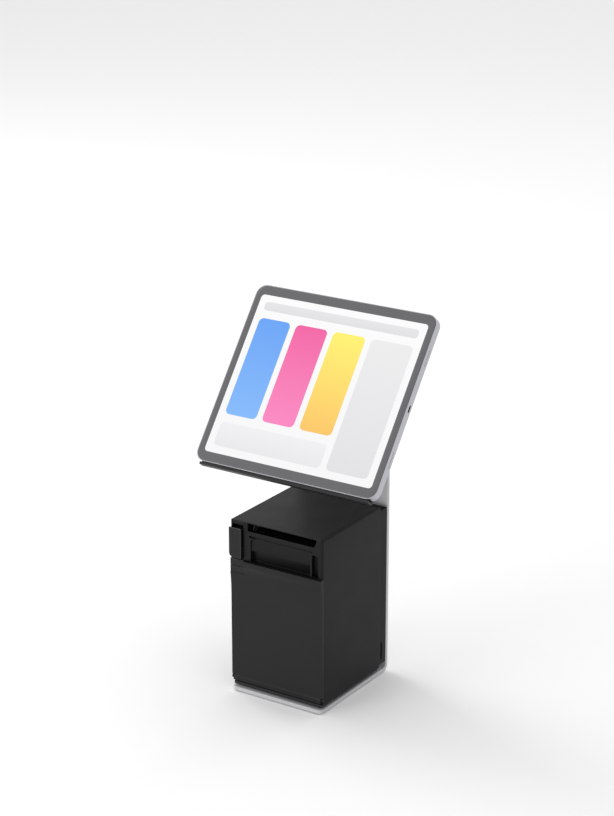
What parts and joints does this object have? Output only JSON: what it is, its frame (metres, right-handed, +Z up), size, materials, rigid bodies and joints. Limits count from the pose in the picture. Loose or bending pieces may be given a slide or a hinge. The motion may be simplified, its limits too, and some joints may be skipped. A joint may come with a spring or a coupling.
{
  "type": "self checkout kiosk",
  "caption": "Self checkout kiosk: tilting touch tablet on a bent steel stand with a front-exit receipt printer underneath.",
  "frame": {"origin": "centre of the base's footprint on the counter, at the underside of the non-slip pad", "axes": "+X to the right as the customer faces the screen, +Y to the rear, +Z up"},
  "size_m": [0.2492, 0.1635, 0.4576],
  "materials": {
    "stand_steel": "satin powder coat, light grey",
    "black_steel": "matte black powder coat",
    "black_rubber": "matte",
    "grip_foam": "matte",
    "zinc_steel": "bright zinc plate",
    "cut_steel": "ground",
    "galvanised_sheet": "galvanised sheet",
    "friction_brass": "satin",
    "tablet_aluminium": "fine blasted and anodised",
    "cover_glass": "polished",
    "display": "lit screen",
    "battery_wrap": "matte",
    "circuit_board": "solder mask",
    "black_plastic": "fine texture",
    "lens_black": "gloss",
    "printer_black": "fine spark texture",
    "gear_plastic": "moulded acetal",
    "paper_white": "smooth",
    "core_card": "raw",
    "head_ceramic": "glazed",
    "head_aluminium": "extruded",
    "motor_steel": "drawn can",
    "button_grey": "satin",
    "blue_lens": "clear tinted"
  },
  "bodies": {
    "kiosk": {"stand_plate": "stand_steel", "base_pad": "black_rubber", "printer_screws": "zinc_steel", "cable_grommet": "black_rubber", "hinge_base": "black_steel", "hinge_screws": "zinc_steel", "hinge_pin": "zinc_steel", "hinge_nut": "zinc_steel", "printer_case": "printer_black", "top_cover": "printer_black", "exit_bezel": "printer_black", "tear_bar": "cut_steel", "door_catch": "cut_steel", "chassis": "galvanised_sheet", "roll_bucket": "black_plastic", "feed_motor": "motor_steel", "thermal_head": "head_ceramic", "heat_sink": "head_aluminium", "head_springs": "zinc_steel", "mechanism_frame": "galvanised_sheet", "fixed_blade": "cut_steel", "cutter_motor": "black_plastic", "main_board": "circuit_board", "rear_connectors": "black_plastic", "bottom_cover": "printer_black", "cable_cover": "printer_black", "printer_feet": "black_rubber", "case_screws": "zinc_steel", "status_lens": "blue_lens"},
    "tablet_head": {"friction_washers": "friction_brass", "tilt_arm": "black_steel", "cradle": "black_steel", "cradle_screws": "zinc_steel", "grip_pads": "grip_foam", "ledge_liner": "black_rubber", "tablet_shell": "tablet_aluminium", "tablet_glass": "cover_glass", "tablet_display": "display", "tablet_battery": "battery_wrap", "tablet_board": "circuit_board", "tablet_speakers": "black_plastic", "front_camera": "lens_black", "rear_camera": "lens_black", "usb_port": "zinc_steel"},
    "front_door": {"front_cover": "printer_black", "door_pins": "zinc_steel"},
    "lever": {"release_lever": "printer_black"},
    "printer_power_key": {"power_button": "button_grey"},
    "printer_feed_key": {"feed_button": "button_grey"},
    "tablet_power_key": {"tablet_power_button": "tablet_aluminium"},
    "volume_up_key": {"volume_up_button": "tablet_aluminium"},
    "volume_down_key": {"volume_down_button": "tablet_aluminium"},
    "paper": {"paper_roll": "paper_white", "roll_core": "core_card"},
    "platen": {"platen_roller": "black_rubber", "platen_shaft": "zinc_steel", "platen_gear": "gear_plastic"},
    "idler": {"idler_gear": "gear_plastic"},
    "pinion": {"motor_pinion": "friction_brass"},
    "cutter": {"moving_blade": "cut_steel"}
  },
  "joints": [
    {"name": "tablet_tilt", "type": "hinge", "parent": "kiosk", "child": "tablet_head", "pos_m": [0, 0.04797, 0.33777], "axis": [1, 0, 0], "range_deg": [-20, 20]},
    {"name": "front_cover_hinge", "type": "hinge", "parent": "kiosk", "child": "front_door", "pos_m": [0, -0.0695, 0.018], "axis": [1, 0, 0], "range_deg": [0, 80]},
    {"name": "release_lever_pivot", "type": "hinge", "parent": "kiosk", "child": "lever", "pos_m": [-0.055, -0.0672, 0.207], "axis": [-1, 0, 0], "range_deg": [0, 25], "stiffness_Nm_per_rad": 0.15, "springref_deg": -17.19},
    {"name": "printer_power_press", "type": "slide", "parent": "kiosk", "child": "printer_power_key", "axis": [1, 0, 0], "range_m": [0, 0.001], "stiffness_N_per_m": 400, "springref_m": -0.001},
    {"name": "printer_feed_press", "type": "slide", "parent": "kiosk", "child": "printer_feed_key", "axis": [1, 0, 0], "range_m": [0, 0.001], "stiffness_N_per_m": 400, "springref_m": -0.001},
    {"name": "tablet_power_press", "type": "slide", "parent": "tablet_head", "child": "tablet_power_key", "axis": [1, 0, 0], "range_m": [0, 0.0004], "stiffness_N_per_m": 600, "springref_m": -0.0004},
    {"name": "volume_up_press", "type": "slide", "parent": "tablet_head", "child": "volume_up_key", "axis": [1, 0, 0], "range_m": [0, 0.0004], "stiffness_N_per_m": 600, "springref_m": -0.0004},
    {"name": "volume_down_press", "type": "slide", "parent": "tablet_head", "child": "volume_down_key", "axis": [1, 0, 0], "range_m": [0, 0.0004], "stiffness_N_per_m": 600, "springref_m": -0.0004},
    {"name": "paper_roll_spin", "type": "hinge", "parent": "kiosk", "child": "paper", "pos_m": [0, -0.006, 0.0633], "axis": [1, 0, 0], "continuous": true},
    {"name": "platen_spin", "type": "hinge", "parent": "kiosk", "child": "platen", "pos_m": [0, -0.053, 0.195], "axis": [1, 0, 0], "continuous": true},
    {"name": "idler_spin", "type": "hinge", "parent": "kiosk", "child": "idler", "pos_m": [0, -0.032, 0.195], "axis": [1, 0, 0], "continuous": true},
    {"name": "pinion_spin", "type": "hinge", "parent": "kiosk", "child": "pinion", "pos_m": [0, -0.02012, 0.18312], "axis": [1, 0, 0], "continuous": true},
    {"name": "cutter_slide", "type": "slide", "parent": "kiosk", "child": "cutter", "axis": [0, -1, 0], "range_m": [0, 0.0065]}
  ],
  "couplings": [
    {"joint": "idler_spin", "follows": "platen_spin", "ratio": -0.66667},
    {"joint": "pinion_spin", "follows": "platen_spin", "ratio": 2}
  ]
}
